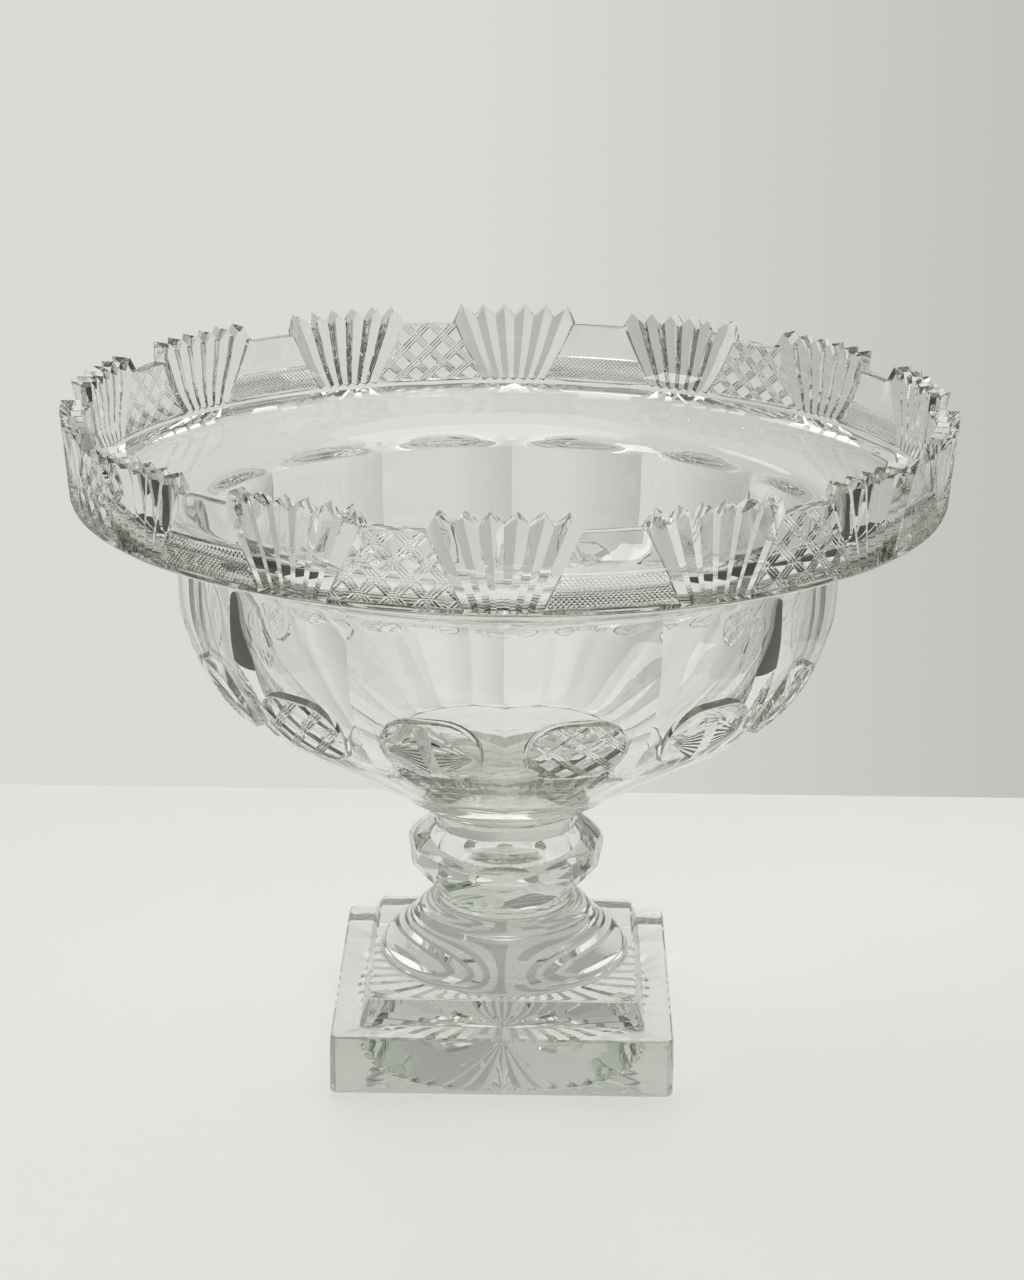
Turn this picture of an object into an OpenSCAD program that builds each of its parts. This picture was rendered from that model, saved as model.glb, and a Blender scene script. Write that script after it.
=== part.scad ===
// Footed punch bowl in clear cut glass: a bowl whose ground peg drops into a
// socket in the knop of its square-footed stand. Millimetres, +Z up, origin at
// the centre of the foot's underside.

/* [Bowl] */
// Greatest radius of the bowl's body, measured on the ridges between flutes
belly_r = 131.5; // [128:0.5:134]
// Height at which the body is widest
belly_z = 200; // [198:1:202]
// Radius of the curve from the side of the body to its sloping base
belly_curve = 70; // [66:1:74]
// Slope of the base of the body, in degrees
base_slope = 31; // [29:1:33]
// Thickness of the body's wall
wall = 7.4; // [6.5:0.1:8.5]
// Radius of the flat under the body
base_r = 54; // [52:1:58]
// Number of flutes, of gallery panels and of gallery fans
sectors = 14; // [10:2:18]

/* [Gallery] */
// Inner radius of the standing gallery
gallery_in_r = 165; // [163:0.5:166]
// Outer radius of the gallery's panels
gallery_out_r = 171.3; // [170:0.1:172.5]
// Outer radius of the fans at their tips
fan_out_r = 174.6; // [173:0.1:176]
// Height of the panels' top edge
panel_top_z = 260.8; // [258:0.2:263]
// Height of the fans' pointed tips
fan_tip_z = 268; // [265:0.5:271]
// Width of a fan at its top
fan_top_w = 54; // [48:1:56]
// Width of a fan at its bottom
fan_bottom_w = 28; // [24:1:32]
// Pointed teeth on each fan
fan_teeth = 6; // [4:1:8]

/* [Joint between bowl and stand] */
// Radius of the ground peg under the bowl
peg_r = 26.2; // [25.5:0.1:26.3]
// Gap between the peg and the wall of its socket
peg_gap = 0.35; // [0.3:0.05:0.6]
// Height of the socket's floor, on which the peg rests
socket_floor_z = 78; // [76:0.5:82]
// Height of the socket's mouth
socket_mouth_z = 92; // [90:0.5:94]

/* [Stand] */
// Width of the lower step of the square foot
foot_w = 136; // [130:1:142]
// Height of the lower step
lower_step_h = 24.5; // [22:0.5:27]
// Width of the upper step at its bottom
upper_step_w = 113; // [108:1:116]
// Width of the upper step at its top
upper_step_top_w = 107; // [104:1:108]
// Height of the upper step's top above the ground
upper_step_z = 35.2; // [33:0.2:37]
// Radius of the dome where it rises from the upper step
dome_r = 50.5; // [48:0.5:52]
// Greatest radius of the knop
knop_r = 40.8; // [39:0.1:42]
// Number of facets round the knop
knop_facets = 9; // [8:1:12]
// Number of rays cut under the foot
foot_rays = 42; // [36:2:48]

/* [Hidden] */
$fn = 96;
clear = 1;

sector = 360 / sectors;
front = -90;

// Bowl's wall section: the belly curve's centre, then where it meets the base cone.
curve_cx = belly_r - belly_curve;
inner_curve = belly_curve - wall;
turn = 90 - base_slope;
cone_r = curve_cx + belly_curve * cos(turn);
cone_z = belly_z - belly_curve * sin(turn);
base_z = cone_z - (cone_r - base_r) * tan(base_slope);
floor_t = 5;
floor_z = base_z + floor_t;
inner_cone_r = curve_cx + inner_curve * cos(turn);
inner_cone_z = belly_z - inner_curve * sin(turn);
floor_r = inner_cone_r - (inner_cone_z - floor_z) / tan(base_slope);

// Flange: its upper face runs from the lip of the body out to the gallery.
lip_r = belly_r - wall + 3.6;
lip_z = belly_z + 22.5;
flange_out_z = 235.8;
flange_slope = (flange_out_z - lip_z) / (gallery_in_r - lip_r);
flange_drop = 6.8;
flange_turn = 90 - atan(flange_slope);
corner_round = 20;
corner_z = flange_out_z + corner_round * tan(flange_turn / 2);
shoulder_r = belly_r + 5;
shoulder_z = lip_z - flange_drop + (shoulder_r - lip_r) * flange_slope;
edge_round = 2.5;
edge_r = gallery_out_r - edge_round;
edge_z = lip_z - flange_drop + (edge_r - lip_r) * flange_slope + edge_round;

// Fans.
fan_base_z = 233;
tooth_w = fan_top_w / fan_teeth;
tooth_h = 4.2;
fan_top_in_r = 166.5;

// Flutes round the body and the tablets that stand out of them.
flute_depth = 0.2;
flute_ratio = cos(sector / 2) * (1 - flute_depth / belly_r);
flute_top_z = 216;
flute_w = 64;
tablet_r = 118;
tablet_z = 162.5;
tablet_tilt = 38;
tablet_w = 39.4;
tablet_h = 33.4;
tablet_round = 14;
tablet_reach = 40;
tablet_root = 1.5;
tablet_proud = 1.2;

// Disc under the bowl and the peg below it.
merese_r = 51.5;
merese_z = 97;
merese_foot = 0.6;
merese_coves = [[5, 0.13], [10.5, 0.3], [17, 0.55]];
merese_step = [0.8, 0.04];
peg_chamfer = 1.5;

// Knop's outline: bottom, widest height and mouth.
knop_low_z = 62;
knop_low_r = 26.5;
knop_mid_z = 80;
knop_flank_z = 88;
knop_flank_r = 35;
mouth_r = 28.8;
facet_r = 38.2;
lower_facet_tilt = 40;
lower_facet_z = 74;
lower_facet_r = 36;

// Waist between knop and dome.
waist_low_z = 56;
waist_low_r = 33.4;
waist_r = 26.5;

// Star cut under the foot.
ray_in_r = 8;
ray_out_r = 57;
ray_depth = 1.4;
ray_w = 6.8;
foot_bevel = 1.2;

// Points of an arc about [cx, cy] from angle a0 to angle a1, in steps steps.
function arc(cx, cy, r, a0, a1, steps) =
    [for (i = [0:steps]) let (a = a0 + (a1 - a0) * i / steps) [cx + r * cos(a), cy + r * sin(a)]];

// Middle line of a flute: the body's outside drawn in by the flute's depth.
function flute_line() = concat(
    [[(base_r - 2 / tan(base_slope)) * flute_ratio, base_z - 2]],
    [for (p = arc(curve_cx, belly_z, belly_curve, -turn, 0, 12)) [p[0] * flute_ratio, p[1]]],
    [[belly_r * flute_ratio, flute_top_z]]);

// Round shell that the tablets fill, from inside the wall out to their faces.
module tablet_shell() {
    rotate_extrude() polygon(concat(
        arc(curve_cx, belly_z, belly_curve + tablet_proud, -turn, 0, 12),
        arc(curve_cx, belly_z, inner_curve + tablet_root, 0, -turn, 12)));
}

// Wall of the bowl with its flange and the ring that carries the gallery.
module bowl_wall() {
    rotate_extrude() polygon(concat(
        [[0, base_z], [base_r, base_z]],
        arc(curve_cx, belly_z, belly_curve, -turn, 0, 12),
        [[belly_r, shoulder_z - 4], [shoulder_r, shoulder_z]],
        arc(edge_r, edge_z, edge_round, -70, 0, 5),
        [[gallery_out_r, panel_top_z], [gallery_in_r, panel_top_z]],
        arc(gallery_in_r - corner_round, corner_z, corner_round, 0, -flange_turn, 8),
        [[lip_r + 2, lip_z + 2 * flange_slope], [lip_r, lip_z - 1.5], [belly_r - wall, lip_z - 9]],
        arc(curve_cx, belly_z, inner_curve, 0, -turn, 12),
        [[floor_r, floor_z], [0, floor_z]]));
}

// Everything outside one flat flute, to be cut away.
module flute_cut() {
    outside = belly_r + 10;
    rotate([90, 0, 0]) translate([0, 0, -flute_w / 2]) linear_extrude(flute_w)
        polygon(concat(flute_line(), [[outside, flute_top_z], [outside, base_z - 2]]));
}

// Rounded-oblong outline of a tablet.
module tablet_outline() {
    dx = tablet_w / 2 - tablet_round;
    dy = tablet_h / 2 - tablet_round;
    square([tablet_w, 2 * dy], center = true);
    square([2 * dx, tablet_h], center = true);
    for (x = [-dx, dx], y = [-dy, dy]) translate([x, y]) circle(tablet_round);
}

// The tablets are what is left of the body's round outside among the flutes.
module tablets() {
    intersection() {
        tablet_shell();
        for (k = [0:sectors - 1])
            rotate([0, 0, front + (k + 0.5) * sector]) translate([tablet_r, 0, tablet_z])
                rotate([0, 90 + tablet_tilt, 0]) rotate([0, 0, 90])
                    translate([0, 0, -tablet_reach / 2]) linear_extrude(tablet_reach) tablet_outline();
    }
}

// Outline of a fan seen from outside: narrow foot, flaring sides and pointed teeth.
module fan_outline() {
    valley_z = fan_tip_z - tooth_h;
    teeth = [
        for (i = [0:2 * fan_teeth])
            let (x = fan_top_w / 2 - i * tooth_w / 2)
            [x, i % 2 == 0 ? valley_z : fan_tip_z]
    ];
    polygon(concat([[-fan_bottom_w / 2, fan_base_z], [fan_bottom_w / 2, fan_base_z]], teeth));
}

// The ring of fans, cut from one flaring ring.
module fans() {
    intersection() {
        rotate_extrude() polygon([[gallery_in_r + 1, fan_base_z], [gallery_out_r - 0.6, fan_base_z],
                                  [fan_out_r, fan_tip_z + clear], [fan_top_in_r, fan_tip_z + clear]]);
        for (k = [0:sectors - 1])
            rotate([0, 0, front + k * sector]) rotate([90, 0, 90])
                translate([0, 0, gallery_in_r - 20]) linear_extrude(40) fan_outline();
    }
}

// Bowl: fluted body, flange, gallery, fans and tablets.
module bowl_body() {
    color("azure", 0.5) {
        difference() {
            bowl_wall();
            for (k = [0:sectors - 1]) rotate([0, 0, front + (k + 0.5) * sector]) flute_cut();
        }
        tablets();
        fans();
    }
}

// Flaring stepped disc under the bowl.
module bowl_merese() {
    rise = base_z - merese_z;
    color("azure", 0.5) rotate_extrude() polygon(concat(
        [[0, merese_z], [peg_r + merese_foot, merese_z]],
        [for (c = merese_coves, k = [0, 1])
            [peg_r + c[0] + k * merese_step[0], merese_z + rise * (c[1] + k * merese_step[1])]],
        [[merese_r, base_z], [0, base_z]]));
}

// Ground peg that stands in the socket.
module bowl_peg() {
    color("azure", 0.5) rotate_extrude() polygon([
        [0, socket_floor_z], [peg_r - peg_chamfer, socket_floor_z],
        [peg_r, socket_floor_z + peg_chamfer], [peg_r, merese_z], [0, merese_z]]);
}

// Knop before its facets are cut.
module knop_blank() {
    rotate_extrude() polygon([
        [0, knop_low_z], [knop_low_r, knop_low_z], [knop_low_r + 2, knop_low_z + 2],
        [knop_r - 6.6, knop_mid_z - 11], [knop_r - 2, knop_mid_z - 6], [knop_r, knop_mid_z - 2],
        [knop_r, knop_mid_z + 1], [knop_r - 1.5, knop_mid_z + 4], [knop_flank_r, knop_flank_z - 1],
        [mouth_r + 1.5, socket_mouth_z - 1], [mouth_r, socket_mouth_z], [0, socket_mouth_z]]);
}

// Faceted knop with the socket ground in its top.
module socket_knop() {
    depth = socket_mouth_z - socket_floor_z;
    color("lightcyan", 0.5) difference() {
        intersection() {
            knop_blank();
            rotate([0, 0, front + 180 / knop_facets]) translate([0, 0, knop_low_z - clear])
                cylinder(r = facet_r / cos(180 / knop_facets), h = 40, $fn = knop_facets);
        }
        translate([0, 0, socket_floor_z]) cylinder(r = peg_r + peg_gap, h = depth + clear);
        translate([0, 0, socket_mouth_z - 1.2])
            cylinder(r1 = peg_r + peg_gap, r2 = peg_r + peg_gap + 1.8, h = 1.8);
        for (k = [0:knop_facets - 1])
            rotate([0, 0, front + (k + 0.5) * 360 / knop_facets])
                translate([lower_facet_r, 0, lower_facet_z]) rotate([0, lower_facet_tilt, 0])
                    translate([0, -30, -30]) cube([30, 60, 60]);
    }
}

// Short waist that joins the knop to the dome.
module stem_merese() {
    color("lightcyan", 0.5) rotate_extrude() polygon(concat(
        [[0, waist_low_z], [waist_low_r, waist_low_z]],
        arc(waist_r + 6, knop_low_z - 1.5, 5.2, -130, -180, 4),
        [[knop_low_r, knop_low_z], [0, knop_low_z]]));
}

// Square block whose sides lean in evenly from low_w to top_w.
module leaning_block(low_w, top_w, low_z, top_z) {
    outline = [[-low_w / 2, low_z], [low_w / 2, low_z], [top_w / 2, top_z], [-top_w / 2, top_z]];
    intersection() {
        rotate([90, 0, 0]) translate([0, 0, -low_w]) linear_extrude(2 * low_w) polygon(outline);
        rotate([90, 0, 90]) translate([0, 0, -low_w]) linear_extrude(2 * low_w) polygon(outline);
    }
}

// One V-shaped ray under the foot, which starts at nothing and grows outwards.
module foot_ray() {
    length = ray_out_r - ray_in_r;
    rise = atan(ray_depth / length);
    translate([ray_in_r, 0, 0]) rotate([0, -rise, 0]) rotate([90, 0, 90]) linear_extrude(length)
        polygon([[-ray_w, -2 * ray_depth], [ray_w, -2 * ray_depth], [0, 0]]);
}

// Pressed foot: two square steps and a dome in one piece, star cut below.
module moulded_foot() {
    color("lightcyan", 0.5) difference() {
        union() {
            leaning_block(foot_w, foot_w, foot_bevel, lower_step_h - foot_bevel);
            leaning_block(foot_w - 2 * foot_bevel, foot_w, 0, foot_bevel);
            leaning_block(foot_w, foot_w - 2 * foot_bevel, lower_step_h - foot_bevel, lower_step_h);
            leaning_block(upper_step_w, upper_step_top_w, lower_step_h, upper_step_z);
            rotate_extrude() polygon(concat(
                [[0, upper_step_z], [dome_r, upper_step_z], [dome_r, upper_step_z + 2]],
                arc(dome_r - 13, upper_step_z + 2, 13, 15, 45, 3),
                [[39, upper_step_z + 14.4], [35.6, upper_step_z + 18.4],
                 [waist_low_r, waist_low_z], [0, waist_low_z]]));
        }
        for (k = [0:foot_rays - 1]) rotate([0, 0, k * 360 / foot_rays]) foot_ray();
    }
}

moulded_foot();
stem_merese();
socket_knop();
bowl_peg();
bowl_merese();
bowl_body();
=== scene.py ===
"""Cut-glass punch bowl on a knopped stand with a square foot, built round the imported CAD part.

Shapes are worked out in millimetres. The front of the bowl faces -Y.
"""
import math

import bmesh
import bpy
from mathutils import Matrix, Vector
from mathutils.geometry import delaunay_2d_cdt


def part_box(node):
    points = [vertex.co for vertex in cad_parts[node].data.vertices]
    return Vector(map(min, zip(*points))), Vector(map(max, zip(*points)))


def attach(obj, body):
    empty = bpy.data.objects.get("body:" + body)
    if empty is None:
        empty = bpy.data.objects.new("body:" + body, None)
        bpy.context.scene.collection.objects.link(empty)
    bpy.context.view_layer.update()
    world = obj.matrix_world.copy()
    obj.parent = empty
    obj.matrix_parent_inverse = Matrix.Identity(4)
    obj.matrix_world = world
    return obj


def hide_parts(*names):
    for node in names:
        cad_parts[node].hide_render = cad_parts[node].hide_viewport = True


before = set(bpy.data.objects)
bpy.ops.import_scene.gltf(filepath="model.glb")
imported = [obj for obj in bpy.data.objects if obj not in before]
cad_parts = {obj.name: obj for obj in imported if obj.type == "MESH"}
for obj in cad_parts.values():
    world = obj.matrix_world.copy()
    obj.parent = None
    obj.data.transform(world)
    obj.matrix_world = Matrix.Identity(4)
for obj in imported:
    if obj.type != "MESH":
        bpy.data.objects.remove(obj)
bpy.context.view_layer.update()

MM = 0.001


def low(node):
    """Height of a CAD node's underside, in millimetres."""
    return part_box(node)[0].z / MM


def high(node):
    """Height of a CAD node's top, in millimetres."""
    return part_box(node)[1].z / MM


# Heights and sizes that the pieces share with the CAD part.
BASE_Z = low("bowl_body")
TIP_Z = high("bowl_body")
MERESE_Z = low("bowl_merese")
SOCKET_Z = low("bowl_peg")
KNOP_Z = low("socket_knop")
MOUTH_Z = high("socket_knop")
WAIST_Z = low("stem_merese")
FOOT_W = (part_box("moulded_foot")[1].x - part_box("moulded_foot")[0].x) / MM
PEG_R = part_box("bowl_peg")[1].x / MM

SECTORS = 14
SECTOR = math.tau / SECTORS
FRONT = -math.pi / 2
CAP_GAP = 0.02  # between the cut faces where two gathers of one body were joined hot


# ---------------------------------------------------------------- mesh helpers
WELD = 2e-6  # points closer than this become one, in metres


class Skin:
    """Collects points in millimetres and faces, then makes one closed mesh of them."""

    def __init__(self):
        self.points = []
        self.faces = []
        self.fused = []

    def row(self, points):
        """Adds points and returns their numbers."""
        start = len(self.points)
        self.points.extend(points)
        return list(range(start, len(self.points)))

    def face(self, corners, fused=False):
        """Adds a face; a fused one lies where two gathers were joined hot."""
        self.faces.append(tuple(corners))
        self.fused.append(fused)

    def join(self, a, b, closed=False):
        """Quads between two rows of as many points."""
        n = len(a)
        for i in range(n if closed else n - 1):
            j = (i + 1) % n
            self.face((a[i], a[j], b[j], b[i]))

    def loft(self, rows, closed=True):
        """Quads between each row and the next."""
        for a, b in zip(rows, rows[1:]):
            self.join(a, b, closed)

    def mesh(self, name, crease=18):
        """One object of all the faces, smooth except across edges sharper than crease degrees."""
        me = bpy.data.meshes.new(name)
        me.from_pydata([tuple(c * MM for c in p) for p in self.points], [], self.faces)
        flag = me.attributes.new("fused", "FLOAT", "FACE")
        flag.data.foreach_set("value", [1.0 if f else 0.0 for f in self.fused])
        bm = bmesh.new()
        bm.from_mesh(me)
        bmesh.ops.remove_doubles(bm, verts=bm.verts, dist=WELD)
        bmesh.ops.recalc_face_normals(bm, faces=bm.faces)
        return finish_mesh(bm, me, crease)


def finish_mesh(bm, me, crease):
    """Writes bm to me and makes an object of it, and prints how sound the mesh is."""
    open_edges = sum(1 for e in bm.edges if len(e.link_faces) != 2)
    volume = bm.calc_volume(signed=True)
    if volume < 0:
        bmesh.ops.reverse_faces(bm, faces=bm.faces)
    print(f"{me.name}: {len(bm.faces)} faces, {open_edges} open edges, {volume * 1e6:.1f} ml")
    bm.to_mesh(me)
    bm.free()
    me.shade_smooth()
    me.set_sharp_from_angle(angle=math.radians(crease))
    obj = bpy.data.objects.new(me.name, me)
    bpy.context.scene.collection.objects.link(obj)
    return obj


def polar(angle, r, z):
    """A point at an angle about the bowl's axis."""
    return (r * math.cos(angle), r * math.sin(angle), z)


def arc(cx, cy, r, a0, a1, steps):
    """Points of an arc, with angles in degrees."""
    out = []
    for i in range(steps + 1):
        a = math.radians(a0 + (a1 - a0) * i / steps)
        out.append((cx + r * math.cos(a), cy + r * math.sin(a)))
    return out


# ---------------------------------------------------------------- convex outlines
SHORTEST_CUT = 0.25  # a groove shorter than this is left out
ENDLESS = 1e9


def sides(outline):
    """The corners of an outline, two by two."""
    return zip(outline, outline[1:] + outline[:1])


def holds(outline, u, v, slack=0.0):
    """Whether a convex anticlockwise outline holds a point; slack lets in a little more."""
    return all((b[0] - a[0]) * (v - a[1]) - (b[1] - a[1]) * (u - a[0]) > -slack
               for a, b in sides(outline))


def clip(p, d, outline):
    """The part of the line p + t d inside a convex anticlockwise outline, or None."""
    t0, t1 = -ENDLESS, ENDLESS
    for a, b in sides(outline):
        nx, ny = a[1] - b[1], b[0] - a[0]
        speed = d[0] * nx + d[1] * ny
        room = (p[0] - a[0]) * nx + (p[1] - a[1]) * ny
        if abs(speed) < 1e-9:
            if room < 0:
                return None
        elif speed > 0:
            t0 = max(t0, -room / speed)
        else:
            t1 = min(t1, -room / speed)
    if t1 - t0 < SHORTEST_CUT:
        return None
    return ((p[0] + d[0] * t0, p[1] + d[1] * t0), (p[0] + d[0] * t1, p[1] + d[1] * t1))


def pull_in(p, outline, margin=0.05):
    """A point moved just inside a convex outline if it lies beyond it."""
    x, y = p
    for a, b in sides(outline):
        nx, ny = a[1] - b[1], b[0] - a[0]
        size = math.hypot(nx, ny)
        room = ((x - a[0]) * nx + (y - a[1]) * ny) / size
        if room < margin:
            x += nx / size * (margin - room)
            y += ny / size * (margin - room)
    return (x, y)


def inset(outline, by):
    """A convex anticlockwise outline moved inwards."""
    out = []
    n = len(outline)
    for i in range(n):
        a, b, c = (Vector(outline[(i + k - 1) % n]) for k in range(3))
        n1 = Vector((a.y - b.y, b.x - a.x)).normalized()
        n2 = Vector((b.y - c.y, c.x - b.x)).normalized()
        m = (n1 + n2).normalized()
        p = b + m * (by / max(0.3, m.dot(n1)))
        out.append((p.x, p.y))
    return out


def fill(skin, outline, chains, spots, lift):
    """Triangles inside an outline that follow the chains; lift gives each (u, v) its (angle, r, z)."""
    verts = [Vector(p) for p in outline]
    edges = []
    for chain in chains:
        start = len(verts)
        verts.extend(Vector(p) for p in chain)
        edges.extend((start + i, start + i + 1) for i in range(len(chain) - 1))
    verts.extend(Vector(p) for p in spots)
    found = delaunay_2d_cdt(verts, edges, [list(range(len(outline)))], 1, 1e-4)
    row = skin.row([lift(p.x, p.y) for p in found[0]])
    for f in found[2]:
        skin.face([row[i] for i in f])


# ---------------------------------------------------------------- cut patterns
# Each pattern has chains, the lines that its mesh follows, spots, its single points, and cut(),
# the depth below the surface, all about the pattern's middle.
ROOT_HALF = math.sqrt(0.5)


def tent(x, pitch):
    """0 at every multiple of pitch and 1 half way between."""
    return 1 - abs((x / pitch) % 1 * 2 - 1)


def diagonal(u, v, side):
    """Distance of a point from the origin along one of the two diagonals."""
    return (u + side * v) * ROOT_HALF


def hatch(outline, side, offsets):
    """Lines at 45 degrees, at the given distances from the origin, cut to the outline."""
    out = []
    for c in offsets:
        cut = clip((c * ROOT_HALF, side * c * ROOT_HALF), (-side * ROOT_HALF, ROOT_HALF), outline)
        if cut:
            out.append(list(cut))
    return out


def reach(outline, pitch):
    """How many lines, a pitch apart, cover an outline on each side of its middle."""
    return int(max(abs(c) for p in outline for c in p) * 1.5 / pitch) + 1


class Diamonds:
    """Fine diamonds: two sets of V grooves that leave small pyramids."""

    def __init__(self, outline, pitch, depth):
        self.pitch, self.depth = pitch, depth
        n = reach(outline, pitch)
        offsets = [k * pitch for k in range(-n, n + 1)]
        self.chains = hatch(outline, 1, offsets) + hatch(outline, -1, offsets)
        inner = inset(outline, 0.25)
        self.spots = []
        for i in range(-n, n + 1):
            for j in range(-n, n + 1):
                a, b = (i + 0.5) * pitch, (j + 0.5) * pitch
                tip = ((a + b) * ROOT_HALF, (a - b) * ROOT_HALF)
                if holds(inner, *tip):
                    self.spots.append(tip)

    def cut(self, u, v):
        share = min(tent(diagonal(u, v, 1), self.pitch), tent(diagonal(u, v, -1), self.pitch))
        return self.depth * (1 - share)


class Lattice:
    """Bundles of three V grooves that cross and leave flat squares between them.

    gap is the distance between bundles, and shifts moves each set, in gaps.
    """

    RIDGE = 0.15  # depth of the ridges inside a bundle, as a share of the grooves' depth

    def __init__(self, outline, gap, pitch, depth, shifts):
        self.gap, self.pitch, self.depth, self.shifts = gap, pitch, depth, shifts
        n = reach(outline, gap)
        self.chains = []
        # A bundle has seven lines, half a pitch apart: three grooves, two ridges and two edges.
        for side, shift in zip((1, -1), shifts):
            offsets = [(k + shift) * gap + m * pitch / 2 for k in range(-n, n + 1) for m in range(-3, 4)]
            self.chains += hatch(outline, side, offsets)
        self.spots = []

    def groove(self, x, shift):
        """Depth of one set of bundles."""
        off = abs(((x / self.gap - shift + 0.5) % 1 - 0.5) * self.gap) / self.pitch
        if off >= 1.5:
            return 0.0
        ridge = self.RIDGE if off < 1 else 0.0
        return self.depth * max(ridge, 1 - abs((off + 0.5) % 1 - 0.5) * 2)

    def cut(self, u, v):
        return max(self.groove(diagonal(u, v, side), shift) for side, shift in zip((1, -1), self.shifts))


class Sprays:
    """Two opposed sprays of V rays that spread from the ends of a tablet to a plain slanting strip."""

    APEX_U, APEX_V = 16.6, 0.8  # where the rays of a spray would meet
    RAYS = 9
    SPREAD = math.radians(44)  # half the angle of a spray
    DEPTH = 0.6
    FULL = 12  # distance from the apex at which a ray has its full depth
    NEAR = 1.4  # distance from the apex at which the rays start
    STRIP = {-1: -3.2, 1: 2.6}  # edges of the plain strip, at mid height
    STRIP_MIDDLE = -0.3
    LEAN = 0.13  # slant of the strip
    BEYOND = 40  # past every edge of a tablet

    def __init__(self, outline):
        self.chains, self.spots = [], []
        steps = 4 * self.RAYS
        for side in (-1, 1):
            start = self.apex(side)
            ends = []
            for i in range(steps + 1):
                a = self.SPREAD * (2 * i / steps - 1)
                d = (-side * math.cos(a), math.sin(a))
                cut = clip(start, d, outline)
                stop = clip(start, d, self.field(side))
                far = min(self.along(start, d, cut[1]), self.along(start, d, stop[1]))
                self.chains.append([self.point(start, d, self.NEAR), self.point(start, d, far)])
                ends.append(self.point(start, d, far + 0.35))
            # A line just past the rays' ends keeps what lies beyond them flat.
            self.chains.append([pull_in(p, outline) for p in ends])

    def apex(self, side):
        """The point that the rays of one side's spray spread from."""
        return (side * self.APEX_U, -self.APEX_V * side)

    def point(self, start, d, far):
        """The point at a distance from the start in a direction."""
        return (start[0] + d[0] * far, start[1] + d[1] * far)

    def field(self, side):
        """Outline that holds one spray and ends at the plain strip."""
        edge, lean, far = self.STRIP[side], self.LEAN, self.BEYOND
        if side < 0:
            return [(-far, -far), (edge + lean * far, -far), (edge - lean * far, far), (-far, far)]
        return [(far, far), (edge - lean * far, far), (edge + lean * far, -far), (far, -far)]

    def along(self, p, d, q):
        """How far q lies from p in a direction."""
        return (q[0] - p[0]) * d[0] + (q[1] - p[1]) * d[1]

    def cut(self, u, v):
        side = -1 if u < self.STRIP_MIDDLE - self.LEAN * v else 1
        start = self.apex(side)
        x, y = (start[0] - u) * side, v - start[1]
        dist = math.hypot(x, y)
        a = math.atan2(y, x)
        if dist < self.NEAR - 0.1 or abs(a) > self.SPREAD + 0.01:
            return 0.0
        edge = self.STRIP[side] - self.LEAN * v
        if side < 0 and u > edge + 0.1 or side > 0 and u < edge - 0.1:
            return 0.0
        step = (a / self.SPREAD + 1) * 2 * self.RAYS
        return self.DEPTH * min(1.0, dist / self.FULL) * max(0.0, 1 - abs(step % 4 - 2))


# ---------------------------------------------------------------- gallery: fans and panels
RIM_R = 171.0
HALF = SECTOR * RIM_R  # arc from one fan's middle to the next
INNER_R = 165.0  # inside of the gallery at the panels' top
INNER_LEAN = 1.5  # how far the inside leans out from there to the tips

FAN_RISE = 63.3  # height of the tips over the level where a fan's lines would meet
FOCUS_Z = TIP_Z - FAN_RISE
TOOTH = 4.6  # half a tooth at the tips
LINES = range(1, 6)  # ridges and valleys beside a fan's middle, in half teeth
LAST_RIDGE = 5
FAN_EDGE = 6.45  # outermost line of a fan, in half teeth
FAN_SLACK = 0.2  # a point this close to a fan's edge belongs to the fan
RIDGE_R = 171.6  # radius of the ridges at a fan's foot
RIDGE_LEAN = 0.088  # how far the ridges lean out for each unit of height
PLEAT = 0.54  # depth of a pleat for each unit of half its width

NOTCH_Z = TIP_Z - 4.2
PANEL_DROP = 7.2
PANEL_Z = TIP_Z - PANEL_DROP
SHOULDER_Z = PANEL_Z + 0.8  # where a fan's edge ends, a little above the panel
FAN_FOOT_Z = 233.6
SEAM_Z = 232.2  # where the gallery's outside turns under
SEAM_R = 171.15

PANEL_GROOVE = 0.5  # width of the cut between a fan and a panel
PANEL_LAND_R = 171.1  # radius of the uncut face of a panel
PANEL_MID_Z = 240
RECESS_R = 169.8
RECESS_Z = 246.6
RECESS_STEP = 0.6  # height of the slope between the recess and the band of diamonds below it


def fan_t(line, z):
    """Arc from a fan's middle to one of its lines at a height."""
    return line * TOOTH * (z - FOCUS_Z) / FAN_RISE


def fan_r(line, z):
    """Radius of the pleated fan: even lines are valleys, odd ones ridges."""
    line = min(abs(line), FAN_EDGE)
    share = abs(line % 2 - 1) if line <= LAST_RIDGE else (line - LAST_RIDGE) / (FAN_EDGE - LAST_RIDGE)
    ridge = RIDGE_R + RIDGE_LEAN * (z - FAN_FOOT_Z)
    return ridge - PLEAT * fan_t(1, z) * share


def gallery_r(t, z, otherwise):
    """Radius of the gallery's outside: the fan's where a fan is, and otherwise the one given."""
    near = min(t, HALF - t)
    if near < fan_t(FAN_EDGE, z) + FAN_SLACK:
        return fan_r(near / fan_t(1, z), z)
    return otherwise


def tip_z(line):
    """Height of the top of a fan's line."""
    return TIP_Z if line % 2 else NOTCH_Z


def between(a, z):
    """Four points of a level line that runs from a to as far from the next fan's middle."""
    return [(a + (HALF - 2 * a) * i / 5, z) for i in range(1, 5)]


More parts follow.
